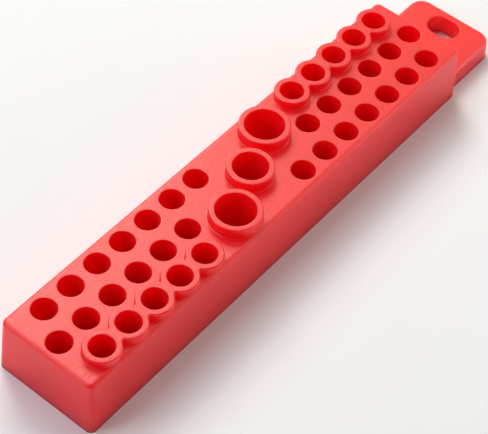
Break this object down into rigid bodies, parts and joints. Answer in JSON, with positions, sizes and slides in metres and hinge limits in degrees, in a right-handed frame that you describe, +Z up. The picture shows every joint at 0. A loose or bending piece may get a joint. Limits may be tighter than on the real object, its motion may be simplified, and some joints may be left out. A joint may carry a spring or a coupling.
{
  "type": "magnetic bit holder",
  "caption": "Long one-piece moulded block with rows of round sockets, some in fused raised collars, large collared sockets, a slotted hanging tab and a magnet strip in its base.",
  "frame": {"origin": "on the flat base, under the axis of the middle large socket", "axes": "+X along the block towards the hanging tab, +Y across it, +Z up out of the sockets"},
  "size_m": [0.1978, 0.0348, 0.0237],
  "materials": {
    "body": "fine moulded grain, semi-matte",
    "magnet_strip": "matt bonded ferrite sheet"
  },
  "bodies": {
    "root": {"body": "body", "magnet_strip": "magnet_strip"}
  },
  "joints": []
}
